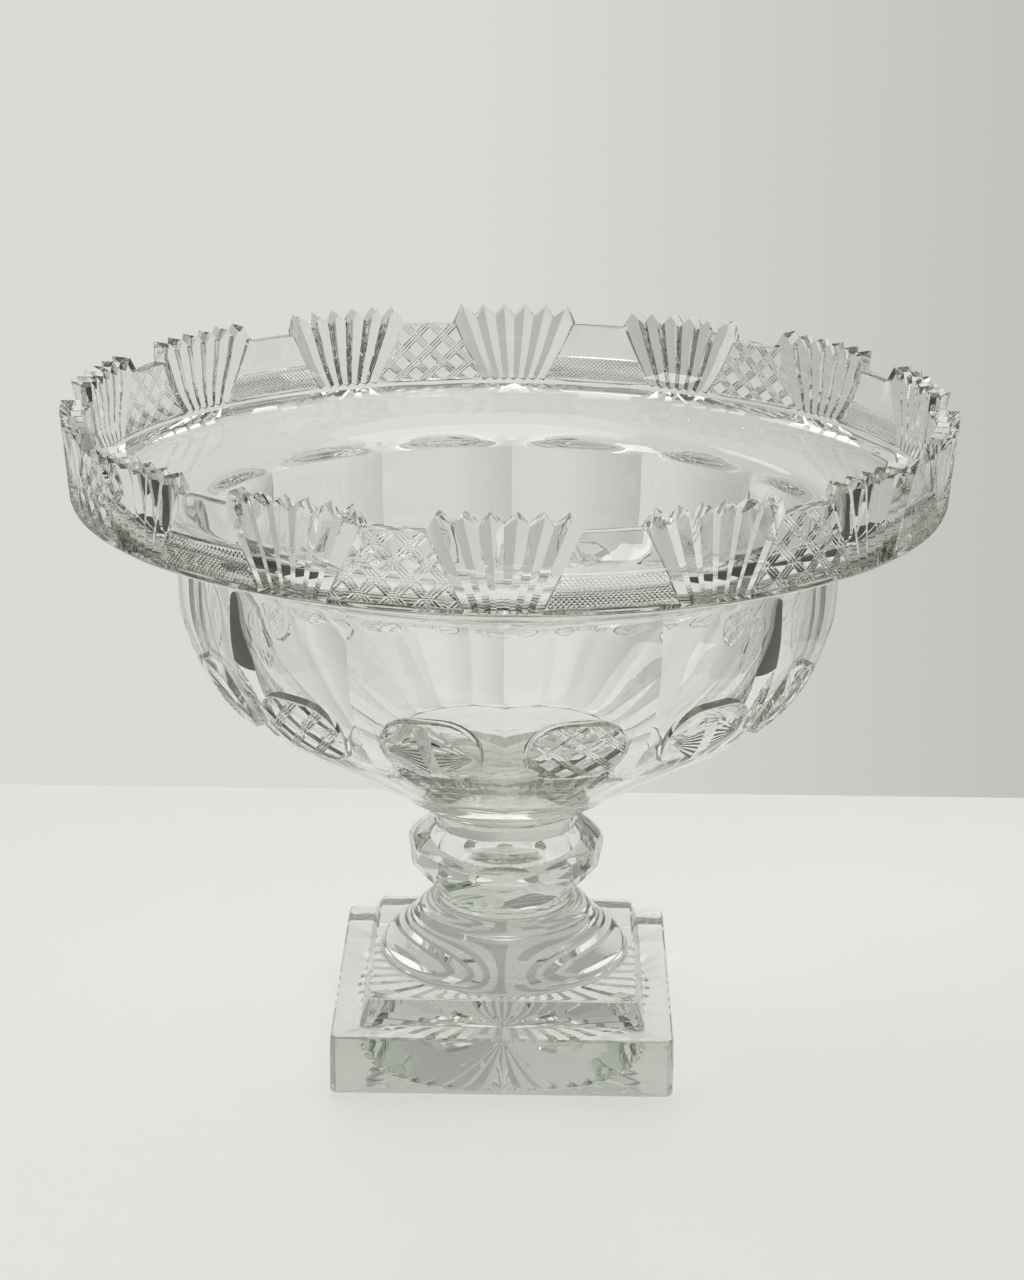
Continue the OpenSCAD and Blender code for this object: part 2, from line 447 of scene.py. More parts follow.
def top_line():
    """(t, z) along the rim from one fan's middle to the next."""
    left = [(0.0, NOTCH_Z)]
    for j in LINES:
        left.append((fan_t(j, tip_z(j)), tip_z(j)))
    left.append((fan_t(FAN_EDGE, SHOULDER_Z), SHOULDER_Z))
    left.append((fan_t(FAN_EDGE, SHOULDER_Z) + PANEL_GROOVE, PANEL_Z))
    return left + between(left[-1][0], PANEL_Z) + [(HALF - t, z) for t, z in reversed(left)]


RIM = top_line()
COLUMNS = [t / RIM_R for t, z in RIM]
PANEL_START = RIM[len(LINES) + 2][0]


def panel_outline(kind, margin):
    """Outline of a panel's cut pattern, anticlockwise, about the panel's middle."""
    top = (RECESS_Z if kind == "band" else PANEL_Z) - 0.6
    bottom = FAN_FOOT_Z + 0.2
    w = [HALF / 2 - fan_t(FAN_EDGE, z) - PANEL_GROOVE for z in (bottom, top)]
    low_v, high_v = bottom - PANEL_MID_Z, top - PANEL_MID_Z
    return inset([(-w[0], low_v), (w[0], low_v), (w[1], high_v), (-w[1], high_v)], margin)


def panel_pattern(kind, area):
    """Every other panel has a low band of diamonds, and the rest a lattice."""
    if kind == "band":
        return Diamonds(area, 1.3, 0.5)
    return Lattice(area, 8.65, 1.25, 0.45, (-0.25, 0.25))


def fan_chains(kind, put):
    """Lines of half a fan and of the panel's edge beside it."""
    chains = [[put(fan_t(j, tip_z(j)), tip_z(j)), put(fan_t(j, FAN_FOOT_Z), FAN_FOOT_Z)] for j in LINES]
    chains.append([put(fan_t(FAN_EDGE, z), z) for z in (SHOULDER_Z, FAN_FOOT_Z)])
    heights = [FAN_FOOT_Z]
    if kind == "band":
        heights = [RECESS_Z, RECESS_Z - RECESS_STEP, FAN_FOOT_Z]
    edge = [put(PANEL_START, PANEL_Z)]
    edge += [put(fan_t(FAN_EDGE, z) + PANEL_GROOVE, z) for z in heights]
    return chains + [edge]


def gallery_patch(skin, kind):
    """Outer face of the gallery from fan middle to fan middle."""
    area = panel_outline(kind, 0.35)
    pattern = panel_pattern(kind, area)

    def panel_r(t, z):
        if kind == "band" and z > RECESS_Z - RECESS_STEP / 2:
            return RECESS_R
        u, v = t - HALF / 2, z - PANEL_MID_Z
        return PANEL_LAND_R - (pattern.cut(u, v) if holds(area, u, v, 0.02) else 0.0)

    def lift(t, z):
        r = SEAM_R if z < SEAM_Z + 0.3 else gallery_r(t, z, panel_r(t, z))
        return (t / RIM_R, r, z)

    def as_is(t, z):
        return (t, z)

    def flipped(t, z):
        return (HALF - t, z)

    outline = [(0.0, SEAM_Z)] + [(t, SEAM_Z) for t, z in RIM[1:-1]] + [(HALF, SEAM_Z), (HALF, FAN_FOOT_Z)]
    outline += list(reversed(RIM)) + [(0.0, FAN_FOOT_Z)]
    chains = fan_chains(kind, as_is) + fan_chains(kind, flipped)
    chains.append([(0.0, FAN_FOOT_Z), (HALF, FAN_FOOT_Z)])
    if kind == "band":
        for z in (RECESS_Z, RECESS_Z - RECESS_STEP):
            a = fan_t(FAN_EDGE, z) + PANEL_GROOVE
            chains.append([(a, z)] + between(a, z) + [(HALF - a, z)])
    for chain in pattern.chains:
        chains.append([(u + HALF / 2, v + PANEL_MID_Z) for u, v in chain])
    spots = [(u + HALF / 2, v + PANEL_MID_Z) for u, v in pattern.spots]
    fill(skin, outline, chains, spots, lift)


# ---------------------------------------------------------------- body: flutes and tablets
BELLY_R = 131.5
BELLY_Z = 200.0
BELLY_CURVE = 70.0
TURN = 59.0  # angle of the belly's arc, down to the straight cone
CONE_SLOPE = math.radians(90 - TURN)
CURVE_END = BELLY_CURVE * math.radians(TURN)
UPRIGHT = 10.3  # straight part over the widest line
FILLET_R = 8.0  # of the turn out under the flange
FILLET_END = -20.13

FLUTE = math.cos(SECTOR / 2)  # flat flutes that meet in mitres on the round envelope
FLUTE_MAP = 120.0  # radius at which widths across a flute are measured
FLUTE_W = SECTOR * FLUTE_MAP
ARCH_S = -13.6  # where a flute's sides run out under the flange
ARCH_RISE = 1.0
RUN_OUT = 2.4  # length over which a flute comes up to the round under the flange

TABLET_S = 40.5  # where the tablet's middle lies on the outline
TABLET_W = 39.4
TABLET_H = 33.4
TABLET_CORNER = 14.5
TABLET_WALL = 0.9  # width of the bevel round it
TABLET_RISE = 0.5  # how far its face stands out at its edge
TABLET_CROWN = 1.2  # and how much more in its middle


def envelope(s):
    """(radius, height) of the round outside, s being the length of outline below the widest part."""
    if s < -UPRIGHT:
        a = (-s - UPRIGHT) / FILLET_R
        return (BELLY_R + FILLET_R - FILLET_R * math.cos(a), BELLY_Z + UPRIGHT + FILLET_R * math.sin(a))
    if s < 0:
        return (BELLY_R, BELLY_Z - s)
    a = min(s, CURVE_END) / BELLY_CURVE
    r = BELLY_R - BELLY_CURVE + BELLY_CURVE * math.cos(a)
    z = BELLY_Z - BELLY_CURVE * math.sin(a)
    rest = max(0.0, s - CURVE_END)
    return (r - rest * math.cos(CONE_SLOPE), z - rest * math.sin(CONE_SLOPE))


def fade(x, a, b):
    """1 up to a and 0 beyond b, smooth between."""
    k = min(1.0, max(0.0, (b - x) / (b - a)))
    return k * k * (3 - 2 * k)


def flute_r(u, s):
    """Radius of the flat flute."""
    return FLUTE * envelope(s)[0] / math.cos(u / FLUTE_MAP - SECTOR / 2)


def tablet_outline(margin):
    """Rounded oblong about the origin, anticlockwise."""
    w, h, c = TABLET_W / 2 - margin, TABLET_H / 2 - margin, TABLET_CORNER - margin
    out = []
    for k, (x, y) in enumerate([(1, 1), (-1, 1), (-1, -1), (1, -1)]):
        out += arc(x * (w - c), y * (h - c), c, 90 * k, 90 * k + 90, 6)
    return out


def tablet_level(u, v):
    """How far the tablet's crowned face stands out of the round envelope."""
    return TABLET_RISE + TABLET_CROWN * max(0.0, 1 - (v / 18.0) ** 2) * max(0.0, 1 - (u / 20.0) ** 2)


def arch(u, drop=0.0):
    """Place on the outline at which a flute runs out under the flange."""
    x = abs(u / FLUTE_W * 2 - 1)
    return ARCH_S - ARCH_RISE * (1 - x * x) - drop


def grid_chains(levels):
    """Level lines of the flute, left out where the tablet is."""
    chains = []
    tablet = tablet_outline(-0.6)
    for s in levels:
        run = []
        for u in [FLUTE_W * i / 10 for i in range(11)]:
            if holds(tablet, u - FLUTE_W / 2, TABLET_S - s):
                if len(run) > 1:
                    chains.append(run)
                run = []
            else:
                run.append((u, s))
        if len(run) > 1:
            chains.append(run)
    return chains


def body_patch(skin, kind):
    """Outside of the body from one mitre between flutes to the next."""
    area = tablet_outline(TABLET_WALL + 0.7)
    pattern = Lattice(area, 9.3, 1.2, 0.5, (0.5, 0.0)) if kind == "band" else Sprays(area)
    outer, inner = tablet_outline(0), tablet_outline(TABLET_WALL)

    def on_tablet(u, s, x, y):
        r, z = envelope(s)
        out = tablet_level(x, y)
        if holds(area, x, y, 0.02):
            out -= pattern.cut(x, y)
        tilt = min(s, CURVE_END) / BELLY_CURVE
        return (u / FLUTE_MAP, r + out * math.cos(tilt), z - out * math.sin(tilt))

    def lift(u, s):
        angle = u / FLUTE_MAP
        r, z = envelope(s)
        if u < 1e-4 or u > FLUTE_W - 1e-4:
            return (angle, flute_r(0, s), z)
        flat = flute_r(u, s)
        if s < arch(u):
            return (angle, flat + (r - flat) * fade(s, arch(u, RUN_OUT), arch(u)), z)
        x, y = u - FLUTE_W / 2, TABLET_S - s
        if holds(inner, x, y, 0.05):
            return on_tablet(u, s, x, y)
        return (angle, flat, z)

    def put(points):
        return [(x + FLUTE_W / 2, TABLET_S - y) for x, y in points]

    across = [a * FLUTE_MAP for a in COLUMNS]
    levels = [FILLET_END + (CURVE_END - FILLET_END) * i / 24 for i in range(25)]
    outline = [(u, levels[0]) for u in across] + [(FLUTE_W, s) for s in levels[1:-1]]
    outline += [(u, CURVE_END) for u in reversed(across)] + [(0.0, s) for s in reversed(levels[1:-1])]
    chains = [put(shape + shape[:1]) for shape in (outer, inner, tablet_outline(TABLET_WALL + 0.6))]
    chains += grid_chains(levels[1:-1])
    for drop in (0.0, 0.8, 1.6, RUN_OUT):
        chains.append([(FLUTE_W * i / 24, arch(FLUTE_W * i / 24, drop)) for i in range(25)])
    chains += [put(c) for c in pattern.chains]
    fill(skin, outline, chains, put(pattern.spots), lift)


# ---------------------------------------------------------------- bowl body
FLOOR_Z = BASE_Z + 5
WALL = 7.4
INNER_CORNER = 20  # fillet between the gallery's inside and the flange
INNER_CORNER_Z = 249.9
LIP_R, LIP_Z = 127.7, 222.5  # where the flange begins
FLANGE_SLOPE = 0.3566
FLANGE_TOP = 235.8  # height of the flange's top face under the gallery's inside
FLANGE_DROP = 6.8  # from the flange's top face to its underside
CAP_R = 51.5  # radius of the face that is joined to the disc below

# (radius, height) of the turn from the flange down into the body.
THROAT = [(131.6, 223.9), (129.3, 222.8), (127.4, 221.2), (125.9, 219.0), (124.8, 216.0), (124.2, 212.0),
          (124.1, 206.0)]


def inside_profile():
    """(radius, height) down the inside, from the gallery's inner wall to the floor."""
    out = [(INNER_R, 256.0)]
    out += arc(INNER_R - INNER_CORNER, INNER_CORNER_Z, INNER_CORNER, 0, -70.4, 12)
    out += [(r, FLANGE_TOP - (INNER_R - r) * FLANGE_SLOPE) for r in (144.0, 136.0)]
    out += THROAT
    out += arc(BELLY_R - BELLY_CURVE, BELLY_Z, BELLY_CURVE - WALL, 0, -TURN, 14)
    r0, z0 = out[-1]
    slope = math.tan(CONE_SLOPE)
    out += [(r, z0 - (r0 - r) * slope) for r in (82.0, 68.0, 56.0)]
    end = r0 - (z0 - FLOOR_Z) / slope
    out += [(end + 2.5, FLOOR_Z + 1.7), (end - 1.0, FLOOR_Z + 0.6)]
    out += [(r, FLOOR_Z) for r in (end - 5.0, 30.0, 15.0)]
    return out


def ring(skin, r, z):
    """A level row across one sector."""
    return skin.row([(a, r, z) for a in COLUMNS])


def close(skin, row, z, fused):
    """Triangles from a sector's row to the axis."""
    hub = skin.row([(0.0, 0.0, z)])[0]
    for i in range(len(row) - 1):
        skin.face((row[i], row[i + 1], hub), fused)


def tile_underside(skin):
    """Underside of the gallery and of the flange."""
    rows = [ring(skin, SEAM_R, SEAM_Z)]
    rows += [ring(skin, r, z) for r, z in arc(168.8, 233.0, 2.5, -18.7, -70.37, 5)[1:]]
    for r in (160.0, 150.0, 143.0):
        rows.append(ring(skin, r, LIP_Z - FLANGE_DROP + (r - LIP_R) * FLANGE_SLOPE))
    rows.append(ring(skin, *envelope(FILLET_END)))
    skin.loft(rows, closed=False)


def tile_inside(skin, kind):
    """Rim from its outer edge to its inner one, and then the inside down to the floor."""
    panel_r = RECESS_R if kind == "band" else PANEL_LAND_R
    rows = [skin.row([(t / RIM_R, gallery_r(t, z, panel_r), z) for t, z in RIM])]
    rows += [skin.row([(t / RIM_R, INNER_R + INNER_LEAN * (z - PANEL_Z) / PANEL_DROP, z) for t, z in RIM])]
    rows += [ring(skin, r, z) for r, z in inside_profile()]
    skin.loft(rows, closed=False)
    close(skin, rows[-1], FLOOR_Z, fused=False)


def tile_base(skin):
    """The flutes run on down the cone to its edge, and a round cap closes it below."""
    cone = (envelope(CURVE_END)[1] - BASE_Z) / math.sin(CONE_SLOPE)
    rows = []
    for share in (0.0, 0.25, 0.5, 0.75, 0.985):
        s = CURVE_END + cone * share
        rows.append(skin.row([(a, flute_r(a * FLUTE_MAP, s), envelope(s)[1]) for a in COLUMNS]))
    s = CURVE_END + cone
    rows.append(skin.row([(a, flute_r(a * FLUTE_MAP, s) - 0.5, BASE_Z) for a in COLUMNS]))
    rows.append(ring(skin, CAP_R, BASE_Z))
    skin.loft(rows, closed=False)
    close(skin, rows[-1], BASE_Z, fused=True)


def body_tile(kind):
    """One sector of the bowl, as (angle, radius, height) points."""
    skin = Skin()
    gallery_patch(skin, kind)
    body_patch(skin, kind)
    tile_underside(skin)
    tile_inside(skin, kind)
    tile_base(skin)
    return skin


def bowl_body():
    """The bowl: sectors of two kinds by turns."""
    skin = Skin()
    tiles = [body_tile("band"), body_tile("lattice")]
    for k in range(SECTORS):
        tile = tiles[k % 2]
        turn = FRONT + k * SECTOR
        start = len(skin.points)
        skin.points.extend(polar(turn + a, r, z) for a, r, z in tile.points)
        for f, fused in zip(tile.faces, tile.fused):
            skin.face([start + i for i in f], fused)
    return skin.mesh("body_glass")


# ---------------------------------------------------------------- lathe-turned pieces
def all_columns():
    """Angles of all the columns of the bowl's mesh."""
    return [k * SECTOR + a for k in range(SECTORS) for a in COLUMNS[:-1]]


def turned(skin, profile, angles):
    """Rings of a profile, and the rows they make."""
    rows = [skin.row([polar(FRONT + a, r, z) for a in angles]) for r, z in profile]
    skin.loft(rows)
    return rows


def cap(skin, row, z, fused):
    """Closes a round row with a fan of triangles about the axis."""
    hub = skin.row([(0.0, 0.0, z)])[0]
    for i in range(len(row)):
        skin.face((row[i], row[(i + 1) % len(row)], hub), fused)


# (radius, share of the height) of the flaring disc's three fine coves.
COVES = [(PEG_R, 0.0), (27.2, 0.02), (29.2, 0.07), (31.2, 0.13), (31.7, 0.17), (33.9, 0.22), (36.3, 0.29),
         (36.9, 0.34), (39.6, 0.43), (42.4, 0.54), (43.0, 0.59), (46.4, 0.73), (49.4, 0.87), (50.8, 0.94),
         (51.3, 0.98), (CAP_R, 1.0)]


def bowl_merese():
    """Flaring disc with three fine coves."""
    skin = Skin()
    rise = BASE_Z - MERESE_Z
    profile = [(r, MERESE_Z + CAP_GAP + (rise - 2 * CAP_GAP) * share) for r, share in COVES]
    rows = turned(skin, profile, all_columns())
    cap(skin, rows[0], profile[0][1], True)
    cap(skin, rows[-1], profile[-1][1], True)
    return skin.mesh("merese_glass")


def bowl_peg():
    """Ground neck that stands in the socket."""
    skin = Skin()
    profile = [(PEG_R - 1.6, SOCKET_Z + 0.1), (PEG_R - 0.5, SOCKET_Z + 0.5), (PEG_R, SOCKET_Z + 1.7)]
    profile += [(PEG_R, z) for z in (82.0, 86.0, 90.0, 93.0, MERESE_Z)]
    rows = turned(skin, profile, all_columns())
    cap(skin, rows[0], profile[0][1], False)
    cap(skin, rows[-1], MERESE_Z, True)
    return skin.mesh("peg_glass")


# ---------------------------------------------------------------- stand
RAYS = 42
RAY_SLOPE = 0.024  # depth of the rays for each unit of radius
RAY_END = 58.5
SMOOTH = 24  # degrees; edges of the stand that are sharper than this show as edges

SLAB_TOP = 24.5
DOME_TOP_R = 33.4
WAIST_TOP_R = 26.4

# (radius, height) of the dome over its foot.
DOME = [(51.2, 35.25), (50.9, 35.7), (50.9, 36.6), (50.4, 38.0), (49.2, 40.0), (47.4, 42.0), (45.3, 44.0),
        (43.0, 46.0), (40.8, 48.0), (38.6, 50.0), (36.8, 52.0), (35.4, 54.0), (34.3, 55.2)]

# (radius, height) of the waist between the dome and the knop.
WAIST = [(32.3, 56.7), (31.0, 57.3), (29.6, 57.7), (28.4, 58.3), (27.5, 59.0), (26.9, 59.8), (26.5, 60.8)]

# (radius, height) of the knop before its facets are cut, and of the socket in its top.
KNOP = [(26.8, 62.8), (28.2, 63.8), (30.0, 65.2), (32.0, 67.0), (33.9, 69.0), (35.4, 70.5), (36.9, 72.0),
        (38.7, 74.0), (40.1, 76.0), (40.8, 78.0), (40.9, 80.0), (40.5, 82.0), (39.6, 84.0), (38.0, 86.0),
        (35.0, 88.4), (32.2, 90.4), (30.4, 91.5)]
SOCKET_R = 26.55
SOCKET = [(29.2, MOUTH_Z), (28.4, MOUTH_Z), (27.6, 91.6), (SOCKET_R + 0.2, 90.6), (SOCKET_R, 89.5),
          (SOCKET_R, 84.0), (SOCKET_R, SOCKET_Z + 1.0), (26.0, SOCKET_Z + 0.3), (25.0, SOCKET_Z)]

KNOP_FACETS = 9  # in each of two rows
FACET_STEP = 360 / KNOP_FACETS
UPRIGHT_FACET = ((38.2, 80), (1, 0))  # a point of it and its normal, as (radius, height)
LOWER_FACET = ((36.0, 74), (0.764, -0.645))


def foot_angles():
    """Columns round the foot: four for each ray below, and a few more at each corner."""
    out = {round(360 * i / (4 * RAYS), 6) for i in range(4 * RAYS)}
    for corner in (45, 135, 225, 315):
        for d in (0.35, 0.7, 1.07):
            out |= {round(corner - d, 6), round(corner + d, 6)}
    return [math.radians(a) for a in sorted(out)]


def square_point(angle, half, round_r):
    """Distance to the edge of a rounded square in the direction of an angle."""
    x, y = abs(math.cos(angle)), abs(math.sin(angle))
    if y > x:
        x, y = y, x
    t = half / x
    if t * y > half - round_r:
        c = half - round_r
        along = (x + y) * c
        t = along + math.sqrt(max(0.0, along * along - 2 * c * c + round_r * round_r))
    return t


def square_row(skin, angles, half, round_r, z):
    """A level row round a rounded square."""
    return skin.row([polar(a, square_point(a, half, round_r), z) for a in angles])


def round_row(skin, angles, r, z):
    """A level row round a circle."""
    return skin.row([polar(a, r, z) for a in angles])


def ray_depth(angle, r):
    """Depth of the star's V rays under the foot."""
    return RAY_SLOPE * r * tent(angle / math.tau * RAYS + 0.5, 1.0) * fade(r, RAY_END - 3.5, RAY_END)


def moulded_foot():
    """Pressed foot: two square steps and a dome, with a star cut below."""
    skin = Skin()
    angles = foot_angles()
    half = FOOT_W / 2
    rows = []
    for r in (3.0, 12.0, 24.0, 36.0, 48.0, 55.0, 56.4, 57.6, RAY_END):
        rows.append(skin.row([polar(a, r, ray_depth(a, r)) for a in angles]))
    cap(skin, rows[0], 0.0, False)
    # Half the width, radius of the corners and height of each row of the two square steps.
    slab = [(half - 2.0, 2.2, 0.0), (half - 1.0, 2.6, 0.15), (half - 0.3, 3.0, 0.7), (half, 3.2, 1.6),
            (half, 3.2, 12.0), (half - 0.1, 3.2, 22.9), (half - 0.4, 3.0, 23.8), (half - 1.0, 2.6, 24.35),
            (half - 2.0, 2.2, SLAB_TOP)]
    step = [(57.4, 2.0, SLAB_TOP), (56.7, 2.0, 24.8), (56.4, 2.0, 25.6), (55.1, 2.2, 30.0), (53.9, 2.4, 33.6),
            (53.5, 2.4, 34.5), (52.8, 2.2, 35.05), (51.9, 2.0, 35.2)]
    rows += [square_row(skin, angles, w, corner, z) for w, corner, z in slab + step]
    rows += [round_row(skin, angles, r, z) for r, z in DOME + [(DOME_TOP_R, WAIST_Z - CAP_GAP)]]
    skin.loft(rows)
    cap(skin, rows[-1], WAIST_Z - CAP_GAP, True)
    return skin.mesh("foot_glass", SMOOTH)


def stem_merese():
    """Waist bead that joins the knop to the dome."""
    skin = Skin()
    profile = [(DOME_TOP_R, WAIST_Z)] + WAIST + [(WAIST_TOP_R, KNOP_Z - CAP_GAP)]
    angles = foot_angles()
    rows = [round_row(skin, angles, r, z) for r, z in profile]
    skin.loft(rows)
    cap(skin, rows[0], profile[0][1], True)
    cap(skin, rows[-1], profile[-1][1], True)
    return skin.mesh("waist_glass", SMOOTH)


def slice_off(bm, azimuth, facet):
    """Cuts away what lies beyond a facet's plane at an azimuth in degrees."""
    a = math.radians(azimuth)
    (r, z), (out, up) = facet
    co = Vector((r * math.cos(a), r * math.sin(a), z)) * MM
    no = Vector((out * math.cos(a), out * math.sin(a), up)).normalized()
    geom = bm.verts[:] + bm.edges[:] + bm.faces[:]
    cut = bmesh.ops.bisect_plane(bm, geom=geom, plane_co=co, plane_no=no, clear_outer=True)
    rim = [e for e in cut["geom_cut"] if isinstance(e, bmesh.types.BMEdge) and e.is_boundary]
    if rim:
        bmesh.ops.holes_fill(bm, edges=rim, sides=0)


def socket_knop():
    """Knop with two rows of facets and the socket ground in its top."""
    skin = Skin()
    angles = foot_angles()
    rows = [round_row(skin, angles, r, z) for r, z in [(WAIST_TOP_R, KNOP_Z)] + KNOP + SOCKET]
    skin.loft(rows)
    cap(skin, rows[0], KNOP_Z, True)
    cap(skin, rows[-1], SOCKET_Z, False)
    whole = skin.mesh("knop_glass", SMOOTH)
    me = whole.data
    bm = bmesh.new()
    bm.from_mesh(me)
    front = -90
    for k in range(KNOP_FACETS):
        slice_off(bm, FACET_STEP * k + front, UPRIGHT_FACET)
        slice_off(bm, FACET_STEP * (k + 0.5) + front, LOWER_FACET)
    bmesh.ops.recalc_face_normals(bm, faces=bm.faces)
    bpy.data.objects.remove(whole)
    return finish_mesh(bm, me, 14)


# ---------------------------------------------------------------- glass
GLASS_IOR = 1.52


def noise(nt, where, scale, detail):
    """Noise in the object's own space."""
    node = nt.nodes.new("ShaderNodeTexNoise")
    node.inputs["Scale"].default_value = scale
    node.inputs["Detail"].default_value = detail
    nt.links.new(where.outputs["Object"], node.inputs["Vector"])
    return node.outputs["Fac"]


def spread(nt, value, start, end, low_value, high_value):
    """Value carried from start..end to low_value..high_value."""
    node = nt.nodes.new("ShaderNodeMapRange")
    node.inputs["From Min"].default_value = start
    node.inputs["From Max"].default_value = end
    node.inputs["To Min"].default_value = low_value
    node.inputs["To Max"].default_value = high_value
    nt.links.new(value, node.inputs["Value"])
    return node.outputs["Result"]


def fused_ior(nt):
    """Index of refraction of glass, and 1 on the faces where two gathers are one glass."""
    fused = nt.nodes.new("ShaderNodeAttribute")
    fused.attribute_name = "fused"
    ior = nt.nodes.new("ShaderNodeMath")
    ior.operation = "MULTIPLY_ADD"
    ior.inputs[1].default_value = 1 - GLASS_IOR
    ior.inputs[2].default_value = GLASS_IOR
    nt.links.new(fused.outputs["Fac"], ior.inputs[0])
    return ior.outputs[0]


def glass(name, tint, density, absorb, bump):
    """Clear lead glass: faintly green, faintly uneven, and clear across hot-joined faces."""
    mat = bpy.data.materials.new(name)
    mat.use_nodes = True
    nt = mat.node_tree
    nt.nodes.clear()
    out = nt.nodes.new("ShaderNodeOutputMaterial")
    p = nt.nodes.new("ShaderNodeBsdfPrincipled")
    nt.links.new(p.outputs["BSDF"], out.inputs["Surface"])
    p.inputs["Base Color"].default_value = (*tint, 1)
    p.inputs["Transmission Weight"].default_value = 1.0
    nt.links.new(fused_ior(nt), p.inputs["IOR"])

    where = nt.nodes.new("ShaderNodeTexCoord")
    # Fine handling marks show as small changes of gloss.
    marks = noise(nt, where, 60.0, 5.0)
    nt.links.new(spread(nt, marks, 0.45, 0.8, 0.0, 0.015), p.inputs["Roughness"])

    # Slow waves left by blowing and hand polishing.
    wave = nt.nodes.new("ShaderNodeBump")
    wave.inputs["Strength"].default_value = bump
    wave.inputs["Distance"].default_value = 0.001
    nt.links.new(noise(nt, where, 28.0, 2.0), wave.inputs["Height"])
    nt.links.new(wave.outputs["Normal"], p.inputs["Normal"])

    soak = nt.nodes.new("ShaderNodeVolumeAbsorption")
    soak.inputs["Color"].default_value = (*absorb, 1)
    soak.inputs["Density"].default_value = density
    nt.links.new(soak.outputs["Volume"], out.inputs["Volume"])
    return mat


# ---------------------------------------------------------------- surroundings, in metres
TABLE_X = 1.6  # half the table's width
TABLE_BACK = 0.275
TABLE_NEAR = -1.6


def plain(name, colour, rough):
    """An even material of one colour, for the table and the cards."""
    mat = bpy.data.materials.new(name)
    mat.use_nodes = True
    p = mat.node_tree.nodes["Principled BSDF"]
    p.inputs["Base Color"].default_value = (*colour, 1)
    p.inputs["Roughness"].default_value = rough
    return mat


def sheet(name, a, b, z, mat):
    """A level sheet from corner a to corner b, which is not part of the object."""
    me = bpy.data.meshes.new(name)
    me.from_pydata([(a[0], a[1], z), (b[0], a[1], z), (b[0], b[1], z), (a[0], b[1], z)], [], [(0, 1, 2, 3)])
    me.materials.append(mat)
    obj = bpy.data.objects.new(name, me)
    bpy.context.scene.collection.objects.link(obj)
    return obj


def card(name, a, b, mat):
    """A sheet just above the table that shows only through the glass, as painted shade."""
    obj = sheet(name, a, b, 0.0006, mat)
    obj.visible_camera = obj.visible_diffuse = obj.visible_glossy = obj.visible_shadow = False


def table():
    """Pale table top, and three cards of painted shade that the glass alone sees."""
    top = plain("pale table", (0.9, 0.9, 0.88), 0.35)
    sheet("table_top", (-TABLE_X, TABLE_NEAR), (TABLE_X, TABLE_BACK), -0.00005, top)
    # Two dark cards beside the bowl are painted shade that the glass alone shows, and draw its edges.
    dark = plain("painted shade card", (0.014, 0.014, 0.016), 0.9)
    card("painted_shade_card_left", (-1.2, -0.3), (-0.32, 0.26), dark)
    card("painted_shade_card_right", (0.32, -0.3), (1.2, 0.26), dark)
    # A grey one in front is painted shade that stands for the darker room below the edge of a narrower table.
    grey = plain("painted room shade card", (0.33, 0.33, 0.33), 0.9)
    card("painted_shade_card_front", (-TABLE_X, TABLE_NEAR), (TABLE_X, -0.36), grey)


def room():
    """Plain room, pale at the back, and darker at the right and behind the camera."""
    world = bpy.data.worlds.new("pale room")
    bpy.context.scene.world = world
    world.use_nodes = True
    nt = world.node_tree
    nt.nodes.clear()
    out = nt.nodes.new("ShaderNodeOutputWorld")
    bg = nt.nodes.new("ShaderNodeBackground")
    nt.links.new(bg.outputs[0], out.inputs[0])
    coord = nt.nodes.new("ShaderNodeTexCoord")
    split = nt.nodes.new("ShaderNodeSeparateXYZ")
    nt.links.new(coord.outputs["Generated"], split.inputs[0])
    ramp = nt.nodes.new("ShaderNodeValToRGB")
    near, far = ramp.color_ramp.elements
    near.position, near.color = 0.25, (0.30, 0.30, 0.30, 1)
    far.position, far.color = 0.62, (0.735, 0.735, 0.71, 1)
    nt.links.new(spread(nt, split.outputs["Y"], -1, 1, 0, 1), ramp.inputs["Fac"])
    nt.links.new(spread(nt, split.outputs["X"], -0.02, 0.19, 0.95, 0.68), bg.inputs["Strength"])
    nt.links.new(ramp.outputs["Color"], bg.inputs["Color"])


def area_light(name, place, aim, size, power, through=True):
    """A lamp; with through=False it shows in what the glass reflects, but not through the glass."""
    data = bpy.data.lights.new(name, "AREA")
    data.shape = "RECTANGLE"
    data.size, data.size_y = size
    data.energy = power
    obj = bpy.data.objects.new(name, data)
    bpy.context.scene.collection.objects.link(obj)
    obj.location = place
    obj.rotation_mode = "QUATERNION"
    obj.rotation_quaternion = (Vector(aim) - Vector(place)).to_track_quat("-Z", "Y")
    obj.visible_transmission = through


def lights():
    """One large soft lamp overhead, and three smaller ones for highlights."""
    area_light("window_left", (-2.2, -1.6, 2.0), (0, 0, 0.15), (0.7, 1.2), 15, through=False)
    area_light("window_back", (-1.4, 2.2, 2.6), (0, 0, 0.2), (0.8, 1.0), 5, through=False)
    area_light("soft_top", (0.3, -0.2, 2.6), (0, 0, 0.1), (2.8, 2.8), 25)
    area_light("fill_right", (2.4, -1.0, 1.2), (0, 0, 0.15), (0.5, 0.9), 4, through=False)


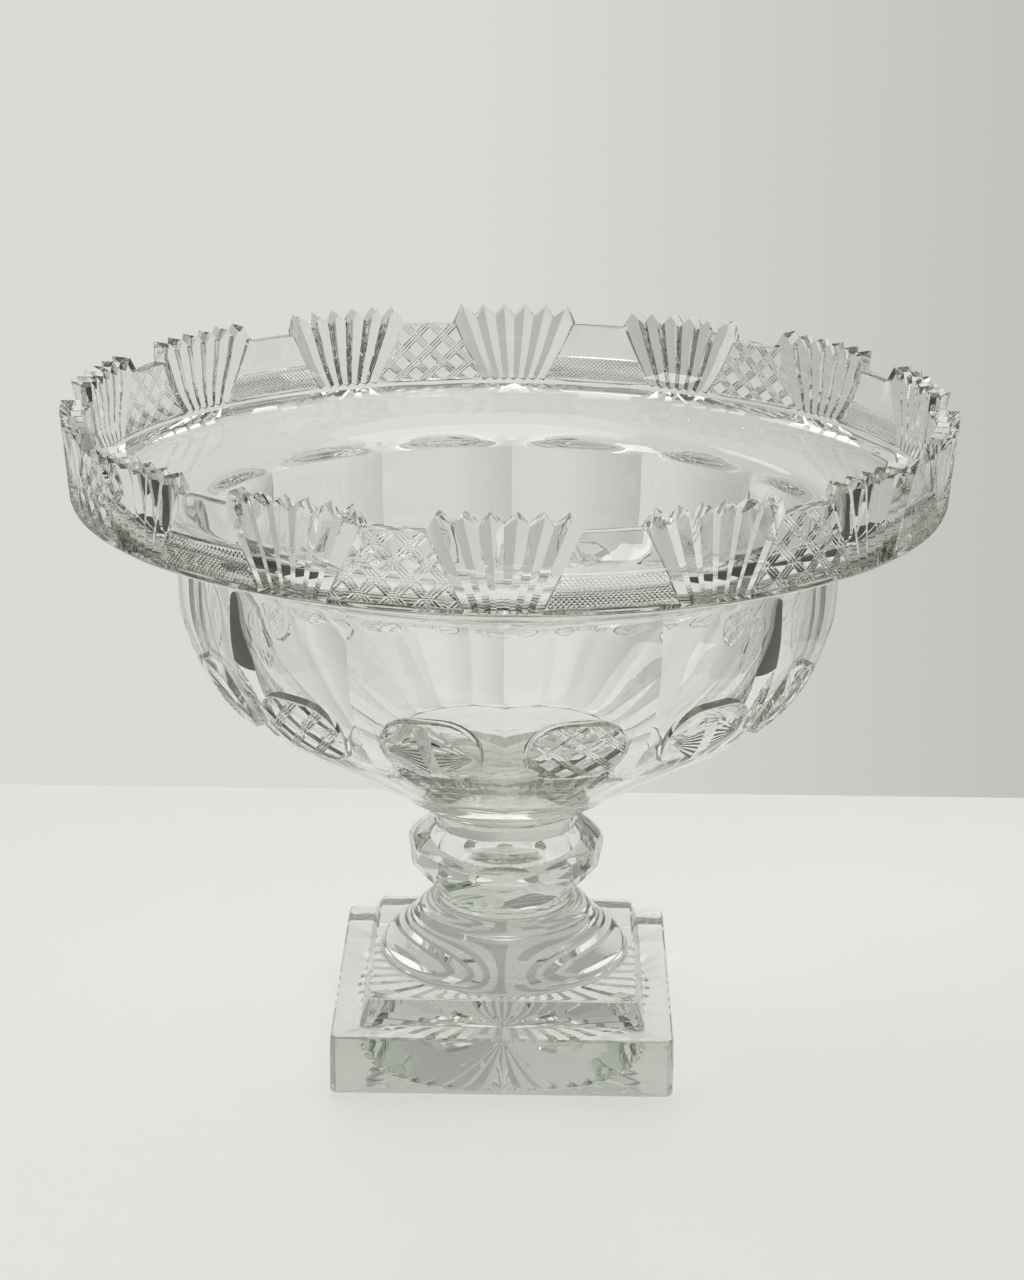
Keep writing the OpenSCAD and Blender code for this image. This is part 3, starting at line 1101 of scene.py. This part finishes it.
def camera():
    """Stands 1.2 m in front of the bowl and looks 18 degrees down."""
    pitch, roll, yaw = math.radians(17.913), math.radians(0.616), math.radians(0.444)
    forward = Vector((0, math.cos(pitch), -math.sin(pitch)))
    up = Vector((0, math.sin(pitch), math.cos(pitch)))
    right = Vector((1, 0, 0))
    right, up = (right * math.cos(roll) + up * math.sin(roll), up * math.cos(roll) - right * math.sin(roll))
    m = Matrix((right, up, -forward)).transposed().to_4x4()
    m.translation = Vector((1.81, -1212.7, 560.0)) * MM
    data = bpy.data.cameras.new("camera")
    data.sensor_width = 36
    data.lens = 89.581
    data.clip_start, data.clip_end = 0.02, 40
    obj = bpy.data.objects.new("camera", data)
    bpy.context.scene.collection.objects.link(obj)
    obj.matrix_world = Matrix.Rotation(yaw, 4, "Z") @ m
    bpy.context.scene.camera = obj


def light_paths():
    """Enough bounces for light to get through all the layers of glass, and plain colours."""
    scene = bpy.context.scene
    scene.view_settings.view_transform = "Standard"
    scene.cycles.max_bounces = scene.cycles.transmission_bounces = 48
    scene.cycles.glossy_bounces = 24


# ---------------------------------------------------------------- assembly
def place(obj, node, body, slot, mat):
    """Gives a piece its glass and the body it moves with, and hides the CAD node that it stands for."""
    obj.data.materials.append(mat)
    obj.visible_shadow = False  # lamps shine through clear glass
    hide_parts(node)
    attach(obj, body)


bowl_glass = glass("bowl glass", (0.993, 0.993, 0.989), 4.8, (0.17, 0.23, 0.06), 0.06)
stand_glass = glass("stand glass", (0.988, 0.99, 0.984), 4.0, (0.20, 0.27, 0.14), 0.07)

place(bowl_body(), "bowl_body", "bowl", "bowl_glass", bowl_glass)
place(bowl_merese(), "bowl_merese", "bowl", "bowl_glass", bowl_glass)
place(bowl_peg(), "bowl_peg", "bowl", "bowl_glass", bowl_glass)
place(socket_knop(), "socket_knop", "stand", "stand_glass", stand_glass)
place(stem_merese(), "stem_merese", "stand", "stand_glass", stand_glass)
place(moulded_foot(), "moulded_foot", "stand", "stand_glass", stand_glass)

table()
room()
lights()
camera()
light_paths()
